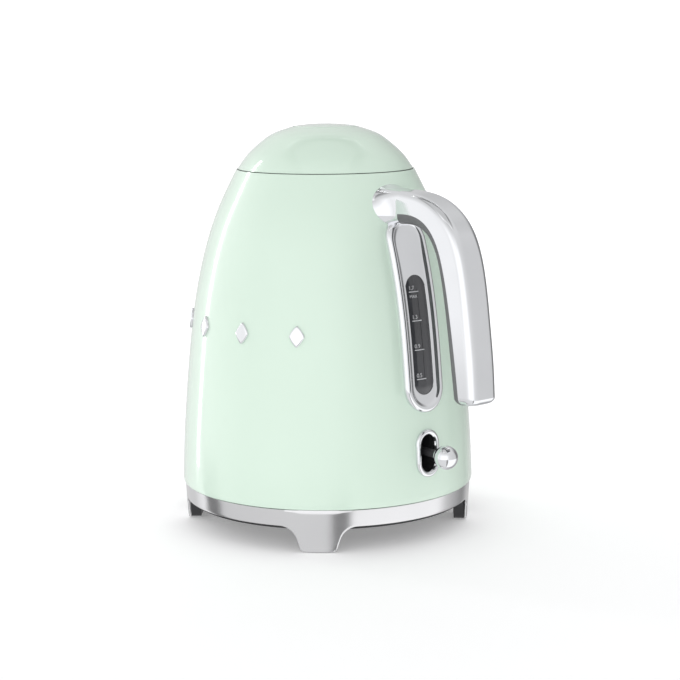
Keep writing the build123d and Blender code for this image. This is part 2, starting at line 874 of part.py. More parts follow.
liner_profile = turned(
    [
        (0, 221.3),
        (43.5, 221.3),
        (43.5, 223.3),
        (17.3, 223.3),
        (17.3, 238.0),
        (16.0, 238.0),
        (16.0, 223.3),
        (0, 223.3),
    ]
)
with BuildPart() as lid_liner:
    add(liner_profile)
    with BuildSketch(Plane.XY.offset(220)):
        with Locations((43, 8.95), (43, -8.95)):
            Rectangle(14, 4.3)
    extrude(amount=10, mode=Mode.SUBTRACT)
    with BuildSketch(Plane.XZ.offset(-6.7)):
        with Locations((hinge_x - 3, 222.3)):
            Rectangle(6, 2.0)
        with Locations((hinge_x, hinge_z)):
            Circle(knuckle_r)
    extrude(amount=13.4)
    with BuildSketch(Plane.XZ.offset(-12)):
        with Locations((hinge_x, hinge_z)):
            Circle(hinge_pin_r + running)
    extrude(amount=24, mode=Mode.SUBTRACT)
    with BuildSketch(Plane.XY.offset(220)):
        with PolarLocations(lid_post_r, 3):
            Circle(1.5)
    extrude(amount=10, mode=Mode.SUBTRACT)
    with BuildSketch(Plane.XY.offset(223.7)):
        with Locations((-16, 0)):
            Rectangle(6, 8.8)
    extrude(amount=3.0, mode=Mode.SUBTRACT)
save(lid_liner, "lid_liner")

seal_profile = turned([(40.9, 217.6), (42.5, 217.6), (42.5, 221.3), (39.6, 221.3), (39.6, 220.2)])
with BuildPart() as lid_seal:
    add(seal_profile)
    with BuildSketch(Plane.XY.offset(216)):
        with Locations((50, 0)):
            Rectangle(36, 60)
    extrude(amount=8, mode=Mode.SUBTRACT)
save(lid_seal, "lid_seal")

with BuildPart() as lid_screws:
    with BuildSketch(Plane.XY.offset(219.8)):
        with PolarLocations(lid_post_r, 3):
            Circle(3.2)
    extrude(amount=1.5)
    with BuildSketch(Plane.XY.offset(221.3)):
        with PolarLocations(lid_post_r, 3):
            Circle(1.2)
    extrude(amount=11)
    with BuildSketch(Plane.XY.offset(219.8)):
        with PolarLocations(lid_post_r, 3):
            Rectangle(4.0, 0.8)
            Rectangle(0.8, 4.0)
    extrude(amount=0.8, mode=Mode.SUBTRACT)
save(lid_screws, "lid_screws")

with BuildPart() as button_cap:
    with BuildSketch(Plane.XZ):
        with BuildLine():
            crown = ThreePointArc((0, crown_z), (9.6, crown_z - 0.3), (button_r - 0.6, 246.75))
            edge = Line(crown @ 1, (button_r, 246.1))
            Polyline(
                edge @ 1,
                (button_r, 239.5),
                (button_r - 1.4, 239.5),
                (button_r - 1.4, 244.3),
                (2.5, 244.3),
                (2.5, 230.2),
                (0, 230.2),
                (0, crown_z),
            )
        make_face()
    revolve(axis=Axis.Z)
save(button_cap, "button_cap")

spring_coil = coil(6.0, 0.9, 223.4, 244.2, 7)
with BuildPart() as button_spring:
    add(spring_coil)
save(button_spring, "button_spring")

with BuildPart() as lid_latch:
    with BuildSketch(Plane.XY.offset(223.9)):
        with Locations((-28.7, 0)):
            Rectangle(29.4, 8.0)
        with Locations((-16.5, 0)):
            Rectangle(5.0, 8.0)
    extrude(amount=2.2)
    chamfer(lid_latch.edges().filter_by(Axis.Y).group_by(Axis.X)[0].group_by(Axis.Z)[0], 1.2)
save(lid_latch, "lid_latch")
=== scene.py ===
import json
import math
import bmesh
import bpy
import numpy as np
from mathutils import Matrix, Vector


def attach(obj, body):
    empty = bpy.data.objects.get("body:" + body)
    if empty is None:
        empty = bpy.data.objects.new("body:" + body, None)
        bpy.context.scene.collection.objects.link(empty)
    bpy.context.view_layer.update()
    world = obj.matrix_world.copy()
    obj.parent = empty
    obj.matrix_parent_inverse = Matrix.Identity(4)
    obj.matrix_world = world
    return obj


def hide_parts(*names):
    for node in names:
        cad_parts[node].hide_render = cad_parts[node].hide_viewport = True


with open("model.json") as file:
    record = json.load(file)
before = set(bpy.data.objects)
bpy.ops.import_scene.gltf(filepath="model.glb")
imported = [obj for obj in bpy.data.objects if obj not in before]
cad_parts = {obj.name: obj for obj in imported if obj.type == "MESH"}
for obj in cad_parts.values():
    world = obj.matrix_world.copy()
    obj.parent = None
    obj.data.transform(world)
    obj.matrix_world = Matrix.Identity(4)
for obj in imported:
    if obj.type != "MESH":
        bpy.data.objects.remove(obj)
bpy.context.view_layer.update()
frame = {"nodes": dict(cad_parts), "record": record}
mm = 0.001
nodes = frame["nodes"]
print("frame loaded,", len(nodes), "nodes")

# Camera and room
view = {"azimuth": 48.7, "pitch": 9.46, "roll": -0.38, "yaw": 0.43, "distance": 1.11496, "height": 0.29854,
        "lens": 95.3}


def placeCamera(v):
    # Starts level behind -Y looking along +Y, tips by pitch, turns by yaw, rolls, then swings about
    # Z by azimuth.
    p, y, r = math.radians(v["pitch"]), math.radians(v["yaw"]), math.radians(v["roll"])
    ahead = np.array([math.sin(y) * math.cos(p), math.cos(y) * math.cos(p), -math.sin(p)])
    side = np.array([math.cos(y), -math.sin(y), 0.0])
    up = np.cross(side, ahead)
    sideRolled = math.cos(r) * side + math.sin(r) * up
    upRolled = -math.sin(r) * side + math.cos(r) * up
    rest = Matrix.Identity(4)
    for i in range(3):
        rest[i][0], rest[i][1], rest[i][2] = sideRolled[i], upRolled[i], -ahead[i]
    rest[1][3], rest[2][3] = -v["distance"], v["height"]
    data = bpy.data.cameras.new("camera")
    data.lens = v["lens"]
    data.sensor_width = 36
    camera = bpy.data.objects.new("camera", data)
    camera.matrix_world = Matrix.Rotation(math.radians(v["azimuth"]), 4, "Z") @ rest
    bpy.context.collection.objects.link(camera)
    bpy.context.scene.camera = camera


placeCamera(view)

# Mesh helpers


def addMesh(name, points, faces, smoothAngle=35, weld=1e-6):
    # Points in millimetres go in as one array; doubles merge, then faces are turned to point outwards.
    mesh = bpy.data.meshes.new(name)
    mesh.from_pydata((np.asarray(points) * mm).tolist(), [], np.asarray(faces).tolist())
    work = bmesh.new()
    work.from_mesh(mesh)
    bmesh.ops.remove_doubles(work, verts=work.verts, dist=weld)
    bmesh.ops.dissolve_degenerate(work, edges=work.edges, dist=1e-7)
    bmesh.ops.recalc_face_normals(work, faces=work.faces)
    work.to_mesh(mesh)
    work.free()
    piece = bpy.data.objects.new(name, mesh)
    bpy.context.collection.objects.link(piece)
    mesh.shade_smooth()
    mesh.set_sharp_from_angle(angle=math.radians(smoothAngle))
    return piece


def quads(rows, columns, wrapRows=False, wrapColumns=False, start=0):
    # Each cell of the grid joins point (i, j) to its neighbours; a wrapped direction joins its end
    # to its start.
    i = np.arange(rows if wrapRows else rows - 1)
    j = np.arange(columns if wrapColumns else columns - 1)
    i, j = np.meshgrid(i, j, indexing="ij")
    a = i * columns + j
    b = ((i + 1) % rows) * columns + j
    c = ((i + 1) % rows) * columns + (j + 1) % columns
    d = i * columns + (j + 1) % columns
    return np.stack([a, b, c, d], -1).reshape(-1, 4) + start


def lathe(name, outline, turns=192, smoothAngle=35):
    # A closed outline of (radius, height) turned about Z: x = r cos t, y = r sin t.
    outline = np.asarray(outline, float)
    t = np.linspace(0, 2 * np.pi, turns, endpoint=False)
    points = np.stack(
        [outline[None, :, 0] * np.cos(t)[:, None], outline[None, :, 0] * np.sin(t)[:, None],
         np.broadcast_to(outline[None, :, 1], (turns, len(outline)))], -1)
    return addMesh(name, points.reshape(-1, 3), quads(turns, len(outline), True, True), smoothAngle)


def splineThrough(knots, values, at):
    # Natural cubic spline: second slopes solved from one banded system, then the usual cubic between knots.
    x, y, n = np.asarray(knots, float), np.asarray(values, float), len(knots)
    h = np.diff(x)
    system, right = np.eye(n), np.zeros(n)
    for k in range(1, n - 1):
        system[k, k - 1:k + 2] = h[k - 1], 2 * (h[k - 1] + h[k]), h[k]
        right[k] = 6 * ((y[k + 1] - y[k]) / h[k] - (y[k] - y[k - 1]) / h[k - 1])
    bend = np.linalg.solve(system, right)
    at = np.asarray(at, float)
    k = np.clip(np.searchsorted(x, at) - 1, 0, n - 2)
    left, rest = at - x[k], x[k + 1] - at
    return ((bend[k] * rest ** 3 + bend[k + 1] * left ** 3) / (6 * h[k])
            + (y[k] / h[k] - bend[k] * h[k] / 6) * rest + (y[k + 1] / h[k] - bend[k + 1] * h[k] / 6) * left)


bodyShape = {
    "heights": (26.7, 50.0, 80.0, 110.0, 140.0, 170.0, 195.0, 220.5),
    "radii": (91.2, 90.3, 88.3, 85.6, 81.75, 75.4, 67.2, 55.0),
    "wall": 1.2, "foldedEdge": 0.5, "turns": 256, "rings": 110,
}
lidShape = {
    "heights": (220.9, 230.2, 238.2, 244.0, 246.4),
    "radii": (54.1, 47.3, 38.2, 27.6, 19.75), "wall": 2.0,
}


def bodyRadius(z):
    return splineThrough(bodyShape["heights"], bodyShape["radii"], z)


def onBody(y, z, rise):
    # A point at (y, z) seen from +X, pushed out until it stands that far from the painted wall.
    z = np.asarray(z, float)
    reach = bodyRadius(z) + rise * np.sqrt(1 + ((bodyRadius(z + 0.5) - bodyRadius(z - 0.5))) ** 2)
    return np.stack([np.sqrt(np.maximum(reach ** 2 - np.asarray(y) ** 2, 1)), np.asarray(y) + 0 * z, z], -1)


def pillOutline(halfWidth, low, high, count=160):
    # Round-ended upright outline, evenly stepped by length, counter-clockwise seen from +X.
    straight, arc = high - low - 2 * halfWidth, math.pi * halfWidth
    s = np.linspace(0, 2 * (straight + arc), count, endpoint=False)
    y, z = np.zeros(count), np.zeros(count)
    bottom, top = low + halfWidth, high - halfWidth
    one = s < straight
    two = (s >= straight) & (s < straight + arc)
    three = (s >= straight + arc) & (s < 2 * straight + arc)
    four = s >= 2 * straight + arc
    y[one], z[one] = halfWidth, bottom + s[one]
    turn = (s[two] - straight) / halfWidth
    y[two], z[two] = halfWidth * np.cos(turn), top + halfWidth * np.sin(turn)
    y[three], z[three] = -halfWidth, top - (s[three] - straight - arc)
    turn = (s[four] - 2 * straight - arc) / halfWidth
    y[four], z[four] = -halfWidth * np.cos(turn), bottom - halfWidth * np.sin(turn)
    return y, z


def pillRing(name, halfWidth, low, high, section, count=160):
    # A section of (inset, rise) carried round a round-ended outline that lies on the body.
    rows = [onBody(*pillOutline(halfWidth - inset, low + inset, high - inset, count), rise) for inset,
            rise in section]
    return addMesh(name, np.stack(rows, 1).reshape(-1, 3), quads(count, len(section), True, True), 40)


def pillPlate(name, halfWidth, low, high, rise, depth, crown=0.0, count=128, rings=12):
    # Nested outlines shrink to the centre line; the rise grows from edge to middle as crown (1 - t squared).
    t = np.linspace(1, 0.02, rings)
    front = [onBody(*pillOutline(halfWidth * k, low + halfWidth * (1 - k), high - halfWidth * (1 - k),
                                 count),
                    rise + crown * (1 - k * k)) for k in t]
    back = [onBody(*pillOutline(halfWidth * k, low + halfWidth * (1 - k), high - halfWidth * (1 - k),
                                count),
                   rise - depth) for k in t[::-1]]
    points = np.stack(front + back, 1)
    return addMesh(name, points.reshape(-1, 3), quads(count, 2 * rings, True, True), 40, 5e-5)


# Materials
finishes = {
    "mintEnamel": {"colour": (0.715, 0.875, 0.750), "rough": 0.20, "coat": 0.9, "coatRough": 0.04,
                   "grain": ((260, (1, 1, 1), 0.010),), "shift": 0.02, "shiftScale": 9,
                   "roughSpread": 0.04},
    "chromePlate": {"colour": (0.80, 0.81, 0.83), "metal": 1.0, "rough": 0.07,
                    "grain": ((900, (1, 1, 1), 0.004),), "shift": 0.02, "shiftScale": 40,
                    "roughSpread": 0.03},
    "satinSteel": {"colour": (0.60, 0.60, 0.61), "metal": 1.0, "rough": 0.26,
                   "grain": ((700, (1, 1, 14), 0.05),), "shift": 0.05, "shiftScale": 60,
                   "roughSpread": 0.09},
    "skirtSteel": {"colour": (0.70, 0.70, 0.71), "metal": 1.0, "rough": 0.16,
                   "grain": ((500, (1, 1, 16), 0.018),), "shift": 0.02, "shiftScale": 30,
                   "roughSpread": 0.05},
    "blackMoulding": {"colour": (0.022, 0.022, 0.024), "rough": 0.52,
                      "grain": ((1500, (1, 1, 1), 0.16), (300, (1, 1, 1), 0.05)), "shift": 0.25,
                      "shiftScale": 50, "roughSpread": 0.12},
    "darkInner": {"colour": (0.150, 0.150, 0.156), "rough": 0.34,
                  "grain": ((900, (1, 1, 1), 0.05),), "shift": 0.06, "shiftScale": 60, "roughSpread": 0.06},
    "greyMoulding": {"colour": (0.42, 0.43, 0.44), "rough": 0.38,
                     "grain": ((1200, (1, 1, 1), 0.07),), "shift": 0.05, "shiftScale": 50,
                     "roughSpread": 0.08},
    "smokedGlass": {"colour": (0.060, 0.062, 0.070), "rough": 0.07, "through": 0.25, "coat": 0.6,
                    "coatRough": 0.03,
                    "grain": ((60, (1, 1, 1), 0.010),), "shift": 0.1, "shiftScale": 25,
                    "roughSpread": 0.03},
    "palePrint": {"colour": (0.62, 0.63, 0.65), "rough": 0.5,
                  "grain": ((1500, (1, 1, 1), 0.05),), "shift": 0.06, "shiftScale": 200,
                  "roughSpread": 0.1},
    "blackRubber": {"colour": (0.020, 0.020, 0.021), "rough": 0.72,
                    "grain": ((900, (1, 1, 1), 0.20),), "shift": 0.3, "shiftScale": 80,
                    "roughSpread": 0.12},
    "clearSilicone": {"colour": (0.62, 0.62, 0.59), "rough": 0.45, "through": 0.1,
                      "grain": ((600, (1, 1, 1), 0.06),), "shift": 0.05, "shiftScale": 60,
                      "roughSpread": 0.08},
    "contactBrass": {"colour": (0.70, 0.49, 0.21), "metal": 1.0, "rough": 0.26,
                     "grain": ((600, (1, 1, 8), 0.06),), "shift": 0.12, "shiftScale": 70,
                     "roughSpread": 0.1},
}


def makeFinish(name, f):
    # Colour and roughness wander with a slow noise; each grain entry adds a finer noise to the bump.
    material = bpy.data.materials.new(name)
    material.use_nodes = True
    tree = material.node_tree
    link = tree.links.new
    surface = tree.nodes["Principled BSDF"]
    for key, socket in (("metal", "Metallic"), ("coat", "Coat Weight"), ("coatRough", "Coat Roughness"),
                        ("through", "Transmission Weight")):
        if key in f:
            surface.inputs[socket].default_value = f[key]
    place = tree.nodes.new("ShaderNodeTexCoord").outputs["Object"]

    def noise(scale, stretch=(1, 1, 1), detail=3):
        mapping = tree.nodes.new("ShaderNodeMapping")
        mapping.inputs["Scale"].default_value = stretch
        texture = tree.nodes.new("ShaderNodeTexNoise")
        texture.inputs["Scale"].default_value = scale
        texture.inputs["Detail"].default_value = detail
        link(place, mapping.inputs["Vector"])
        link(mapping.outputs["Vector"], texture.inputs["Vector"])
        return texture.outputs["Fac"]

    slow = noise(f["shiftScale"])
    ramp = tree.nodes.new("ShaderNodeValToRGB")
    colour, spread = np.array(f["colour"]), f["shift"]
    ramp.color_ramp.elements[0].position, ramp.color_ramp.elements[1].position = 0.3, 0.7
    ramp.color_ramp.elements[0].color = (*(colour * (1 - spread)), 1)
    ramp.color_ramp.elements[1].color = (*np.minimum(colour * (1 + spread), 1), 1)
    link(slow, ramp.inputs["Fac"])
    link(ramp.outputs["Color"], surface.inputs["Base Color"])
    span = tree.nodes.new("ShaderNodeMapRange")
    span.inputs["To Min"].default_value = max(f["rough"] - f["roughSpread"], 0.02)
    span.inputs["To Max"].default_value = f["rough"] + f["roughSpread"]
    link(noise(f["shiftScale"] * 3), span.inputs["Value"])
    link(span.outputs["Result"], surface.inputs["Roughness"])
    normal = None
    for scale, stretch, strength in f["grain"]:
        bump = tree.nodes.new("ShaderNodeBump")
        bump.inputs["Strength"].default_value = strength
        bump.inputs["Distance"].default_value = 0.0004
        link(noise(scale, stretch), bump.inputs["Height"])
        if normal:
            link(normal, bump.inputs["Normal"])
        normal = bump.outputs["Normal"]
    link(normal, surface.inputs["Normal"])
    return material


looks = {name: makeFinish(name, f) for name, f in finishes.items()}
slotLooks = {
    "mint_enamel": "mintEnamel", "mint_plastic": "mintEnamel", "chrome": "chromePlate",
    "steel": "satinSteel",
    "polished_steel": "skirtSteel", "black_plastic": "blackMoulding", "dark_plastic": "darkInner",
    "grey_plastic": "greyMoulding", "smoked_window": "smokedGlass", "white_print": "palePrint",
    "rubber": "blackRubber", "silicone": "clearSilicone", "brass": "contactBrass",
}
nodeSlots = {part["node"]: part["material_slot"] for part in frame["record"]["subparts"]}
for nodeName, cadObject in nodes.items():
    cadObject.data.materials.clear()
    cadObject.data.materials.append(looks[slotLooks[nodeSlots[nodeName]]])
print("materials made,", len(looks))


def standFor(piece, body, slot, *names):
    # The new piece takes the finish of its slot, rides on a body and stands for the named nodes.
    piece.data.materials.clear()
    piece.data.materials.append(looks[slotLooks[slot]])
    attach(piece, body)
    if names:
        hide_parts(*names)
    return piece


# Painted body
openings = {
    "window": {"halfWidth": 8.3, "low": 90.1, "high": 161.8},
    "switch": {"halfWidth": 6.7, "low": 42.7, "high": 68.1},
}


def cutAway(piece, cutter):
    # The cutter's volume leaves the piece, and the result is kept as its mesh.
    modifier = piece.modifiers.new("cut", "BOOLEAN")
    modifier.operation, modifier.solver, modifier.object = "DIFFERENCE", "EXACT", cutter
    bpy.context.view_layer.update()
    shown = piece.evaluated_get(bpy.context.evaluated_depsgraph_get())
    cut = bpy.data.meshes.new_from_object(shown)
    piece.modifiers.clear()
    piece.data = cut
    bpy.data.objects.remove(cutter)


def prism(y, z, near, far):
    # The outline is repeated at two distances along X and both ends are closed.
    count = len(y)
    points = np.concatenate([np.stack([np.full(count, x), y, z], -1) for x in (near, far)])
    sides = quads(2, count, False, True).tolist()
    mesh = bpy.data.meshes.new("cutter")
    mesh.from_pydata((points * mm).tolist(), [],
                     sides + [list(range(count))[::-1], list(range(count, 2 * count))])
    work = bmesh.new()
    work.from_mesh(mesh)
    bmesh.ops.recalc_face_normals(work, faces=work.faces)
    work.to_mesh(mesh)
    work.free()
    cutter = bpy.data.objects.new("cutter", mesh)
    bpy.context.collection.objects.link(cutter)
    return cutter


def wallOutline(shape, low, high, count, innerTop=None):
    # Outer line up, inner line down: the inner one is the outer moved in along the wall's normal.
    z = np.linspace(low, high, count)
    r = splineThrough(shape["heights"], shape["radii"], z)
    slope = np.gradient(r, z)
    inner = r - shape["wall"] * np.sqrt(1 + slope ** 2)
    if innerTop:
        inner = np.where(z > 214, np.maximum(inner, innerTop), inner)
    return r, inner, z


r, inner, z = wallOutline(bodyShape, 26.7, 220.5, bodyShape["rings"], 54.4)
soft = bodyShape["foldedEdge"]
r[0] -= soft * 0.6
outer = np.stack([r, z], 1)
lowEdge = np.array([[r[0] - soft, z[0] - 0.02]])
shell = np.concatenate([outer, np.stack([inner, z], 1)[::-3], [[inner[0], z[0]]], lowEdge])
body = lathe("bodyShell", shell, bodyShape["turns"], 40)
for opening in openings.values():
    cutAway(body, prism(*pillOutline(opening["halfWidth"], opening["low"], opening["high"], 96), 60, 110))


# Spout
spoutShape = {"rootX": -50, "rootZ": 183, "lipX": -84, "lipZ": 203.2, "rootHalf": (24, 20),
              "lipHalf": (9.0, 7.0),
              "wall": 1.6, "rings": 36, "turns": 96, "tilt": (0.51, 0.86)}


def spoutSkin(s, shrink, start=0.0, end=1.0):
    # Ellipses ride on a straight line from root to lip; their half-sizes shrink along it.
    t = np.linspace(start, end, s["rings"])[:, None]
    turn = np.linspace(0, 2 * np.pi, s["turns"], endpoint=False)[None, :]
    wide = s["rootHalf"][0] + (s["lipHalf"][0] - s["rootHalf"][0]) * t - shrink
    tall = s["rootHalf"][1] + (s["lipHalf"][1] - s["rootHalf"][1]) * t - shrink
    across, upward = wide * np.cos(turn), tall * np.sin(turn)
    x = s["rootX"] + (s["lipX"] - s["rootX"]) * t + upward * s["tilt"][0]
    height = s["rootZ"] + (s["lipZ"] - s["rootZ"]) * t + upward * s["tilt"][1]
    return np.stack([x, across, height], -1)


outerSkin, boreSkin = spoutSkin(spoutShape, 0), spoutSkin(spoutShape, spoutShape["wall"])
spoutPoints = np.concatenate([outerSkin, boreSkin[::-1]])
spout = addMesh("spout", spoutPoints.reshape(-1, 3),
                quads(2 * spoutShape["rings"], spoutShape["turns"], True, True))
fullWall = np.stack([*wallOutline(bodyShape, 100, 220.5, 60)[::2]], 1)
core = lathe("core", np.concatenate([fullWall, [[0, 220.5], [0, 100]]]), 256)
cutAway(spout, core)
boreCut = addMesh("boreCut", spoutSkin(spoutShape, spoutShape["wall"]).reshape(-1, 3),
                  quads(spoutShape["rings"], spoutShape["turns"], False, True).tolist())
ends = bmesh.new()
ends.from_mesh(boreCut.data)
bmesh.ops.holes_fill(ends, edges=ends.edges)
bmesh.ops.recalc_face_normals(ends, faces=ends.faces)
ends.to_mesh(boreCut.data)
ends.free()
cutAway(body, boreCut)
for made in (body, spout):
    made.data.shade_smooth()
    made.data.set_sharp_from_angle(angle=math.radians(40))
standFor(body, "kettle", "mint_enamel", "body_shell")
standFor(spout, "kettle", "mint_enamel", "spout")
print("body and spout made")

# Lid
zLid = np.linspace(220.9, 246.4, 60)
rLid = splineThrough(lidShape["heights"], lidShape["radii"], zLid)
innerLid = rLid - lidShape["wall"] * np.sqrt(1 + np.gradient(rLid, zLid) ** 2)
keep = innerLid > 19.9
lidOutline = np.concatenate([np.stack([rLid, zLid], 1), [[19.75, 245.9], [19.9, zLid[keep][-1]]],
                             np.stack([innerLid, zLid], 1)[keep][::-1]])
postShape = {"ring": 33.0, "radius": 3.0, "bore": 1.2, "low": 223.4, "boreTop": 233.0, "count": 3}


def lidPosts(s):
    # A tube's outline, turned about its own axis and set out at even steps round the lid.
    top = float(np.interp(s["ring"] + s["radius"], innerLid[::-1], zLid[::-1])) + 0.4
    line = np.array([[0, s["boreTop"]], [s["bore"], s["boreTop"]], [s["bore"], s["low"]],
                     [s["radius"], s["low"]],
                     [s["radius"], top], [0, top]])
    turn = np.linspace(0, 2 * np.pi, 24, endpoint=False)
    points, faces = [], []
    for k in range(s["count"]):
        swing = 2 * math.pi * k / s["count"]
        x = s["ring"] * math.cos(swing) + np.outer(np.cos(turn), line[:, 0])
        y = s["ring"] * math.sin(swing) + np.outer(np.sin(turn), line[:, 0])
        faces.append(quads(24, len(line), True, False) + k * 24 * len(line))
        points.append(np.stack([x, y, np.tile(line[:, 1], (24, 1))], -1).reshape(-1, 3))
    return np.concatenate(points), np.concatenate(faces)


lid = lathe("lidDome", lidOutline, 224, 40)
posts = addMesh("posts", *lidPosts(postShape), 40)
joined = bmesh.new()
joined.from_mesh(lid.data)
joined.from_mesh(posts.data)
joined.to_mesh(lid.data)
joined.free()
bpy.data.objects.remove(posts)
lid.data.shade_smooth()
lid.data.set_sharp_from_angle(angle=math.radians(40))
standFor(lid, "lid", "mint_plastic", "lid_dome")

buttonShape = {"radius": 19.2, "crown": 248.0, "shoulder": 246.6, "edge": 0.7, "skirt": 239.5, "wall": 1.4}
b = buttonShape
across = np.linspace(0, b["radius"] - b["edge"], 24)
crown = np.stack([across, b["crown"] - (b["crown"] - b["shoulder"]) * (across / b["radius"]) ** 2], 1)
shoulderTurn = np.linspace(math.radians(80), 0, 7)
shoulder = np.stack([b["radius"] - b["edge"] + b["edge"] * np.cos(shoulderTurn),
                     crown[-1, 1] - b["edge"] + b["edge"] * np.sin(shoulderTurn)], 1)
under = [[b["radius"], b["skirt"]], [b["radius"] - b["wall"], b["skirt"]], [b["radius"] - b["wall"], 244.3],
         [2.5, 244.3], [2.5, 230.2], [0, 230.2]]
button = lathe("lidButton", np.concatenate([crown, shoulder, under]), 160, 30)
standFor(button, "lid_button", "mint_plastic", "button_cap")
print("lid made")

# Power base skirt with four feet
skirtShape = {"topRadius": 90.0, "footRadius": 88.6, "top": 26.2, "edge": 15.9, "clear": 0.6, "wall": 1.2,
              "sole": 10.9, "toe": 2.6, "knee": 7.7, "hip": 23.4}


def touchingArc(start, heading, end, steps=16):
    # The one circle that leaves start along heading and passes through end.
    start, heading, end = (np.asarray(v, float) for v in (start, heading, end))
    heading = heading / np.linalg.norm(heading)
    chord = end - start
    normal = np.array([-heading[1], heading[0]])
    radius = chord @ chord / (2 * (chord @ normal))
    centre = start + normal * radius
    a = math.atan2(*(start - centre)[::-1])
    swing = 2 * math.atan2(heading[0] * chord[1] - heading[1] * chord[0], heading @ chord)
    turn = a + np.linspace(0, swing, steps)
    return centre + abs(radius) * np.stack([np.cos(turn), np.sin(turn)], 1)


def footEdge(s):
    # Half a foot from the sole's middle to the ring: flat, toe arc, leg line, hip arc.
    toe = touchingArc((s["sole"] - s["toe"], s["clear"]), (1, 0), (s["sole"] + 0.4, s["clear"] + s["toe"]),
                      8)
    leg = np.linspace(toe[-1], (s["sole"] + 2.1, s["clear"] + s["knee"]), 6)
    hip = touchingArc(leg[-1], leg[-1] - leg[0], (s["hip"], s["edge"]), 14)
    half = np.concatenate([np.linspace((0, s["clear"]), toe[0], 6), toe[1:], leg[1:], hip[1:]])
    return np.concatenate([(half * (-1, 1))[:0:-1], half])


edge = footEdge(skirtShape)
lowRadius = (skirtShape["topRadius"] + skirtShape["footRadius"]) / 2
footTurn = edge[:, 0] / lowRadius
between = np.linspace(footTurn[-1], math.pi / 2 + footTurn[0], 26)[1:-1]
quarter = np.concatenate([footTurn, between])
quarterLow = np.concatenate([edge[:, 1], np.full(len(between), skirtShape["edge"])])
turn = np.concatenate([quarter + math.radians(45 + 90 * k) for k in range(4)])
lowLine = np.tile(quarterLow, 4)
climb = np.array([0.0, 0.012, 0.05, 0.15, 0.3, 0.5, 0.7, 0.88, 0.97, 1.0])
tuck = np.array([0.45, 0.12, 0, 0, 0, 0, 0, 0, 0.05, 0.35])
height = lowLine[:, None] + (skirtShape["top"] - lowLine[:, None]) * climb
share = (height - skirtShape["clear"]) / (skirtShape["top"] - skirtShape["clear"])
reach = skirtShape["footRadius"] + (skirtShape["topRadius"] - skirtShape["footRadius"]) * share
outside = np.stack([(reach - tuck) * np.cos(turn)[:, None], (reach - tuck) * np.sin(turn)[:, None], height],
                   -1)
back = reach - skirtShape["wall"] + tuck
inside = np.stack([back * np.cos(turn)[:, None], back * np.sin(turn)[:, None], height], -1)[:, ::-1]
skirt = addMesh("baseSkirt", np.concatenate([outside, inside], 1).reshape(-1, 3),
                quads(len(turn), 2 * len(climb), True, True), 40)
standFor(skirt, "power_base", "polished_steel", "base_skirt")
print("base skirt made")

# Level window, its surround and the switch surround
windowShape = {"halfWidth": 7.7, "low": 90.7, "high": 161.2, "crown": 0.7}
surroundShape = {"halfWidth": 15.0, "low": 80.0, "high": 196.0, "rim": 4.7, "gap": 0.15, "count": 192}
# From the outer foot over the rounded rim, down a hollow channel, to the lip beside the glass.
surroundSection = np.array([(0.0, 0.05), (0.0, 1.3), (0.2, 2.0), (0.6, 2.6), (1.2, 3.0), (2.0, 3.2),
                            (3.0, 3.1),
                            (3.9, 2.6), (4.7, 1.9)])
switchSection = np.array([(0.0, 0.05), (0.0, 1.3), (0.3, 1.9), (0.9, 2.25), (1.7, 2.3), (2.5, 2.0),
                          (3.1, 1.3),
                          (3.45, 0.5), (3.5, 0.05)])


def insetPill(shape, inset):
    return pillOutline(shape["halfWidth"] - inset, shape["low"] + inset, shape["high"] - inset,
                       surroundShape["count"])


rows = [onBody(*insetPill(surroundShape, inset), rise) for inset, rise in surroundSection]
# Beyond the rim the channel floor spreads from the rim's inside to the glass.
yRim, zRim = insetPill(surroundShape, surroundShape["rim"])
yGlass, zGlass = insetPill(windowShape, -surroundShape["gap"])
for w, rise in ((0.15, 1.6), (0.35, 1.35), (0.6, 1.2), (0.8, 1.12), (0.96, 1.08), (1.0, 0.95), (1.0, 0.05)):
    rows.append(onBody(yRim * (1 - w) + yGlass * w, zRim * (1 - w) + zGlass * w, rise))
surround = addMesh("windowSurround", np.stack(rows, 1).reshape(-1, 3),
                   quads(surroundShape["count"], len(rows), True, True), 50)
standFor(surround, "kettle", "chrome", "window_bezel")
glass = pillPlate("levelWindow", windowShape["halfWidth"], windowShape["low"], windowShape["high"], 0.7,
                  3.0,
                  windowShape["crown"])
standFor(glass, "kettle", "smoked_window", "level_window")
switchRim = pillRing("switchSurround", 9.0, 41.05, 69.75, switchSection)
standFor(switchRim, "kettle", "chrome", "lever_bezel")


# Level scale: lines and plain numbers
scaleShape = {"heights": (100.2, 117.5, 134.7, 151.7), "labels": ("0.5", "0.9", "1.3", "1.7"),
              "line": (7.0, 0.55),
              "digit": 3.3, "rise": 1.47, "left": -5.9}
flat = []
for height, label in zip(scaleShape["heights"], scaleShape["labels"]):
    for words, lift, size in ((label, 1.2, scaleShape["digit"]),
                              ("MAX" if label == "1.7" else "", -3.6, 2.6)):
        if not words:
            continue
        letters = bpy.data.curves.new("letters", "FONT")
        letters.body, letters.size = words, size
        holder = bpy.data.objects.new("letters", letters)
        bpy.context.collection.objects.link(holder)
        bpy.context.view_layer.update()
        made = bpy.data.meshes.new_from_object(holder.evaluated_get(bpy.context.evaluated_depsgraph_get()))
        place = np.empty(len(made.vertices) * 3)
        made.vertices.foreach_get("co", place)
        place = place.reshape(-1, 3)
        flat.append((place[:, 0] + scaleShape["left"], place[:, 1] + height + lift,
                     [list(p.vertices) for p in made.polygons]))
        bpy.data.objects.remove(holder)
    long, thick = scaleShape["line"]
    y = scaleShape["left"] + np.linspace(0, long, 9)
    flat.append((np.concatenate([y, y]), np.repeat([height - thick / 2, height + thick / 2], 9),
                 quads(2, 9).tolist()))
points, faces = [], []
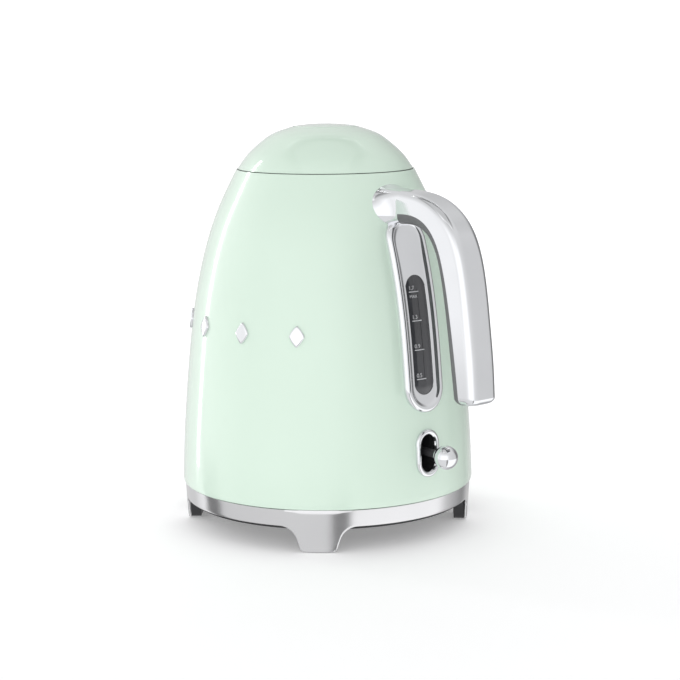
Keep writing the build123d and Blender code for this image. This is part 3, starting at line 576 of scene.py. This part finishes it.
for y, z, polygons in flat:
    start = sum(len(p) for p in points)
    windowDrop = scaleShape["rise"] - 0.7 * (y / windowShape["halfWidth"]) ** 2
    points.append(onBody(y, z, windowDrop))
    faces += [[v + start for v in p] for p in polygons]
marks = bpy.data.meshes.new("scaleMarks")
marks.from_pydata((np.concatenate(points) * mm).tolist(), [], faces)
scaleMarks = bpy.data.objects.new("scaleMarks", marks)
bpy.context.collection.objects.link(scaleMarks)
backing = scaleMarks.modifiers.new("ink", "SOLIDIFY")
backing.thickness, backing.offset = 0.00008, 0
standFor(scaleMarks, "kettle", "white_print", "gauge_marks")

# Switch ball
ballShape = {"centre": (105.7, 0.0, 55.1), "radius": 7.25, "collar": 3.5}
t = np.linspace(0, math.pi - math.asin(ballShape["collar"] / ballShape["radius"]), 40)
ballLine = np.stack([ballShape["radius"] * np.sin(t), ballShape["radius"] * np.cos(t)], 1)
ballLine = np.concatenate([ballLine, [[ballShape["collar"], -7.1], [2.9, -7.3], [2.9, -5], [0, -5]]])
ball = lathe("switchBall", ballLine, 72, 30)
ball.data.transform(Matrix.Translation(np.array(ballShape["centre"]) * mm)
                    @ Matrix.Rotation(math.radians(93.6), 4, "Y"))
standFor(ball, "switch_lever", "chrome", "lever_ball")
print("window, scale and switch made")

# Handle
handleShape = {
    "outer": ((75.0, 211.2), (91.5, 209.3), (103.0, 205.3), (113.0, 198.5), (120.5, 189.5), (125.8, 178.0),
              (130.6, 158.0), (133.8, 136.0), (136.6, 112.0), (137.7, 95.0)),
    "inner": ((75.0, 191.6), (88.0, 191.2), (97.0, 187.2), (103.5, 179.5), (108.5, 166.0), (112.8, 144.0),
              (116.2, 121.0), (119.9, 94.2)),
    "half": 10.8, "corner": 5.2, "sections": 120, "around": 96, "innerDepth": 6.2, "joint": 0.06,
}


def alongPoints(points, count):
    # Spline through the points against their running length, sampled evenly.
    points = np.asarray(points, float)
    length = np.concatenate([[0], np.cumsum(np.linalg.norm(np.diff(points, axis=0), axis=1))])
    at = np.linspace(0, length[-1], count)
    return np.stack([splineThrough(length, points[:, k], at) for k in (0, 1)], 1)


def roundedBox(halfA, halfB, corner, count):
    # Rounded rectangle stepped evenly by length, given as two offsets from its middle.
    corner = np.minimum(corner, np.minimum(halfA, halfB) * 0.98)
    t = np.linspace(0, 1, count, endpoint=False)
    a, b, c = halfA - corner, halfB - corner, corner * math.pi / 2
    side = np.array([2 * b, c, 2 * a, c, 2 * b, c, 2 * a, c])
    ends = np.concatenate([[0], np.cumsum(side)])
    s = t * ends[-1]
    k = np.clip(np.searchsorted(ends, s, "right") - 1, 0, 7)
    w = (s - ends[k]) / side[k]
    bend = w * math.pi / 2
    u, v = np.empty(count), np.empty(count)
    for q in range(8):
        m = k == q
        along, sine, cosine = w[m], corner * np.sin(bend[m]), corner * np.cos(bend[m])
        u[m], v[m] = ((halfA + 0 * along, -b + 2 * b * along), (a + cosine, b + sine),
                      (a - 2 * a * along, halfB + 0 * along),
                      (-a - sine, b + cosine), (-halfA + 0 * along, b - 2 * b * along),
                      (-a - cosine, -b - sine),
                      (-a + 2 * a * along, -halfB + 0 * along), (a + sine, -b - cosine))[q]
    return u, v


h = handleShape
outerLine = alongPoints(h["outer"], h["sections"])
innerLine = alongPoints(h["inner"], h["sections"])
middle, depthWay = (outerLine + innerLine) / 2, outerLine - innerLine
halfDepth = np.linalg.norm(depthWay, axis=1) / 2
depthWay = depthWay / (2 * halfDepth[:, None])
runWay = np.array([0.10, -0.995])
# The free end: sections go on past the last one and draw in along a quarter ellipse.
closing = np.linspace(0, 1, 14)[1:]
drop, pinch = 3.9 * np.sin(closing * math.pi / 2), 1 - 0.55 * (1 - np.cos(closing * math.pi / 2))
middles = np.concatenate([middle, middle[-1] + drop[:, None] * runWay])
ways = np.concatenate([depthWay, np.repeat(depthWay[-1:], 13, 0)])
halves = np.concatenate([halfDepth, halfDepth[-1] * pinch])
widths = np.concatenate([np.full(h["sections"], h["half"]),
                         h["half"] * (1 - 0.33 * (1 - np.cos(closing * math.pi / 2)))])


def handlePart(name, fromInner):
    # Each section is a rounded rectangle pressed flat at one depth, so two parts meet on that plane.
    rows = []
    for m, d, depth, width in zip(middles, ways, halves, widths):
        u, v = roundedBox(depth, width, h["corner"], h["around"])
        plane = -depth + min(h["innerDepth"], depth)
        u = np.minimum(u, plane - h["joint"]) if fromInner else np.maximum(u, plane)
        rows.append(np.stack([m[0] + d[0] * u, v, m[1] + d[1] * u], -1))
    rows = np.stack(rows)
    caps = [np.repeat(edge.mean(1, keepdims=True), h["around"], 1) for edge in (rows[:1], rows[-1:])]
    rows = np.concatenate([caps[0], rows, caps[1]])
    return addMesh(name, rows.reshape(-1, 3), quads(len(rows), h["around"], False, True), 50, 2e-6)


standFor(handlePart("handleBow", False), "kettle", "chrome", "handle_bow")
standFor(handlePart("handleInner", True), "kettle", "dark_plastic", "handle_inner")

# The root flares from the bow's section to an oval that lies on the shoulder.
rootShape = {"half": (17.4, 12.6), "centreZ": 201.2, "start": 75.6, "rows": 30, "flare": 2.2}
t = np.linspace(0, 1, rootShape["rows"])[:, None]
u0, v0 = roundedBox((211.2 - 191.6) / 2, h["half"], h["corner"], h["around"])
turn = np.arctan2(v0, u0)
blendIn = t ** rootShape["flare"]
up = u0 * (1 - blendIn) + rootShape["half"][1] * np.cos(turn) * blendIn
across = v0 * (1 - blendIn) + rootShape["half"][0] * np.sin(turn) * blendIn
zRoot = rootShape["centreZ"] + up
onSkin = np.sqrt(np.maximum(bodyRadius(np.clip(zRoot, 30, 220)) ** 2 - across ** 2, 1)) + 0.05
x = rootShape["start"] * (1 - t) + onSkin * t
root = np.stack([x, across, zRoot], -1)
tail = np.stack([x[-1:] - 1.5, across[-1:] * 0.9, rootShape["centreZ"] + up[-1:] * 0.9], -1)
head = root[:1].mean(1, keepdims=True)
root = np.concatenate([np.repeat(head, h["around"], 1), root, tail,
                       np.repeat(tail.mean(1, keepdims=True), h["around"], 1)])
collar = addMesh("handleRoot", root.reshape(-1, 3), quads(len(root), h["around"], False, True), 50)
standFor(collar, "kettle", "chrome", "handle_root")
print("handle made")

# Plain lozenges on the side
studShape = {"height": 12.6, "width": 9.2, "rise": 1.5, "z": 128.5, "step": 24.5, "middle": -90, "count": 4}
studPoints, studFaces = [], []
sideTurn = np.linspace(0, 2 * np.pi, 64, endpoint=False)
norm = (np.abs(np.cos(sideTurn)) ** 1.25 + np.abs(np.sin(sideTurn)) ** 1.25) ** (-1 / 1.25)
for k in range(studShape["count"]):
    size = np.array([1.0, 1.0, 0.97, 0.90, 0.78, 0.6, 0.3, 0.01, 0.01, 1.0])[None, :]
    lift = np.array([0.05, 0.8, 1.15, 1.38, 1.47, 1.5, 1.5, 1.5, 0.05, 0.05])[None, :]
    y = (studShape["width"] / 2 * norm * np.cos(sideTurn))[:, None] * size
    z = studShape["z"] + (studShape["height"] / 2 * norm * np.sin(sideTurn))[:, None] * size
    place = onBody(y, z, lift).reshape(-1, 3)
    swing = math.radians(studShape["middle"] + (k - 1.5) * studShape["step"])
    spin = np.array([[math.cos(swing), -math.sin(swing), 0], [math.sin(swing), math.cos(swing), 0],
                     [0, 0, 1]])
    studPoints.append(place @ spin.T)
    studFaces.append(quads(64, 9, True, False, 0) // 9 * 10 + quads(64, 9, True, False, 0) % 9 + k * 640)
studs = addMesh("trimStuds", np.concatenate(studPoints), np.concatenate(studFaces), 45)
standFor(studs, "kettle", "chrome", "trim_studs")
print("studs made")

# Floor and light
sweepShape = {"reach": 3.2, "back": 2.6, "rise": 2.6, "bend": 1.3, "turn": 48.7, "glow": 0.24}


def addSweep(s):
    # A pale sheet lies flat, then bends up through a quarter circle behind the object.
    bend = np.linspace(0, math.pi / 2, 24)
    along = np.concatenate([[-s["reach"]], s["back"] + s["bend"] * np.sin(bend), [s["back"] + s["bend"]]])
    up = np.concatenate([[0], s["bend"] * (1 - np.cos(bend)), [s["bend"] + s["rise"]]])
    a = math.radians(s["turn"])
    points = [np.stack([side * math.cos(a) - along * math.sin(a), side * math.sin(a) + along * math.cos(a),
                        up], -1)
              for side in (-6, 6)]
    mesh = bpy.data.meshes.new("floor")
    mesh.from_pydata(np.concatenate(points).tolist(), [], quads(2, len(along)).tolist())
    mesh.shade_smooth()
    sweep = bpy.data.objects.new("floor", mesh)
    bpy.context.collection.objects.link(sweep)
    paper = bpy.data.materials.new("palePaper")
    paper.use_nodes = True
    surface = paper.node_tree.nodes["Principled BSDF"]
    surface.inputs["Base Color"].default_value = (0.94, 0.94, 0.945, 1)
    surface.inputs["Roughness"].default_value = 0.9
    surface.inputs["Emission Color"].default_value = (1, 1, 1, 1)
    surface.inputs["Emission Strength"].default_value = s["glow"]
    mesh.materials.append(paper)
    sweep.visible_glossy = False  # bright metal shows the room's bands, not the sheet it stands on


addSweep(sweepShape)
# The room round the object, by direction: turn from the -Y and +X corner's azimuth, in degrees,
# then brightness.
room = {
    "front": -41.3, "top": 0.80, "meet": (-0.21, -0.15),
    "high": ((-180, 0.70), (-150, 0.78), (-110, 1.15), (-70, 1.05), (-40, 1.30), (5, 1.30), (30, 0.85),
             (60, 0.76),
             (100, 0.70), (116, 0.20), (150, 0.30), (180, 0.70)),
    "crown": 0.16, "crownFrom": (0.80, 0.93),
    "low": ((-180, 0.72), (-135, 0.80), (-118, 1.25), (-113, 0.25), (-99, 0.25), (-95, 0.80), (-30, 0.86),
            (1, 0.86),
              (5, 0.28), (16, 0.30), (20, 1.22), (100, 1.25), (112, 0.72), (140, 0.30), (152, 0.62),
              (180, 0.72)),
}


def addRoom(s):
    # Brightness follows the compass direction through a ramp and fades to one pale value overhead.
    world = bpy.data.worlds.new("room")
    bpy.context.scene.world = world
    world.use_nodes = True
    tree, link = world.node_tree, world.node_tree.links.new
    direction = tree.nodes.new("ShaderNodeTexCoord").outputs["Generated"]
    turn = tree.nodes.new("ShaderNodeMapping")
    turn.inputs["Rotation"].default_value[2] = -math.radians(s["front"])
    link(direction, turn.inputs["Vector"])
    split = tree.nodes.new("ShaderNodeSeparateXYZ")
    link(turn.outputs["Vector"], split.inputs["Vector"])
    around = tree.nodes.new("ShaderNodeMath")
    around.operation = "ARCTAN2"
    link(split.outputs["Y"], around.inputs[0])
    link(split.outputs["X"], around.inputs[1])
    share = tree.nodes.new("ShaderNodeMapRange")
    share.inputs["From Min"].default_value, share.inputs["From Max"].default_value = -math.pi, math.pi
    link(around.outputs["Value"], share.inputs["Value"])
    rings = []
    for bands in (s["low"], s["high"]):
        ramp = tree.nodes.new("ShaderNodeValToRGB")
        stops = ramp.color_ramp.elements
        while len(stops) < len(bands):
            stops.new(0.5)
        for stop, (degree, level) in zip(stops, bands):
            stop.position = (degree + 180) / 360
        for stop, (degree, level) in zip(stops, bands):
            stop.color = (level, level, level * 1.005, 1)
        link(share.outputs["Result"], ramp.inputs["Fac"])
        rings.append(ramp.outputs["Color"])
    climb = tree.nodes.new("ShaderNodeMapRange")
    climb.inputs["From Min"].default_value, climb.inputs["From Max"].default_value = s["meet"]
    link(split.outputs["Z"], climb.inputs["Value"])
    walls = tree.nodes.new("ShaderNodeMix")
    walls.data_type = "RGBA"
    link(climb.outputs["Result"], walls.inputs["Factor"])
    link(rings[0], walls.inputs["A"])
    link(rings[1], walls.inputs["B"])
    lift = tree.nodes.new("ShaderNodeMapRange")
    lift.inputs["From Min"].default_value, lift.inputs["From Max"].default_value = 0.35, 0.75
    link(split.outputs["Z"], lift.inputs["Value"])
    blend = tree.nodes.new("ShaderNodeMix")
    blend.data_type = "RGBA"
    link(lift.outputs["Result"], blend.inputs["Factor"])
    link(walls.outputs["Result"], blend.inputs["A"])
    blend.inputs["B"].default_value = (s["top"], s["top"], s["top"], 1)
    seen = tree.nodes.new("ShaderNodeMix")
    seen.data_type = "RGBA"
    link(tree.nodes.new("ShaderNodeLightPath").outputs["Is Camera Ray"], seen.inputs["Factor"])
    dark = tree.nodes.new("ShaderNodeMapRange")
    dark.inputs["From Min"].default_value, dark.inputs["From Max"].default_value = s["crownFrom"]
    link(split.outputs["Z"], dark.inputs["Value"])
    ceiling = tree.nodes.new("ShaderNodeMix")
    ceiling.data_type = "RGBA"
    link(dark.outputs["Result"], ceiling.inputs["Factor"])
    link(blend.outputs["Result"], ceiling.inputs["A"])
    ceiling.inputs["B"].default_value = (s["crown"], s["crown"], s["crown"], 1)
    link(ceiling.outputs["Result"], seen.inputs["A"])
    seen.inputs["B"].default_value = (1.05, 1.05, 1.05, 1)
    link(seen.outputs["Result"], tree.nodes["Background"].inputs["Color"])


addRoom(room)
bpy.context.scene.view_settings.view_transform = "Standard"

lamps = {
    "leftStrip": {"turn": -163, "far": 1.5, "high": 0.45, "size": (0.12, 1.5), "power": 3.2},
    "overhead": {"turn": -41, "far": 0.3, "high": 1.9, "size": (1.5, 1.5), "power": 3.5},
    "sweepWash": {"turn": 138, "far": 0.9, "high": 2.2, "size": (2.2, 0.6), "power": 34,
                  "aim": (-2.6, 2.3, 0.9)},
}
for name, l in lamps.items():
    data = bpy.data.lights.new(name, "AREA")
    data.shape, data.size, data.size_y, data.energy = "RECTANGLE", *l["size"], l["power"]
    lamp = bpy.data.objects.new(name, data)
    bpy.context.collection.objects.link(lamp)
    a = math.radians(l["turn"])
    spot = Vector((l["far"] * math.cos(a), l["far"] * math.sin(a), l["high"]))
    lamp.location = spot
    lamp.rotation_euler = (Vector(l.get("aim", (0, 0, 0.12))) - spot).to_track_quat("-Z", "Y").to_euler()
print("floor and light made")
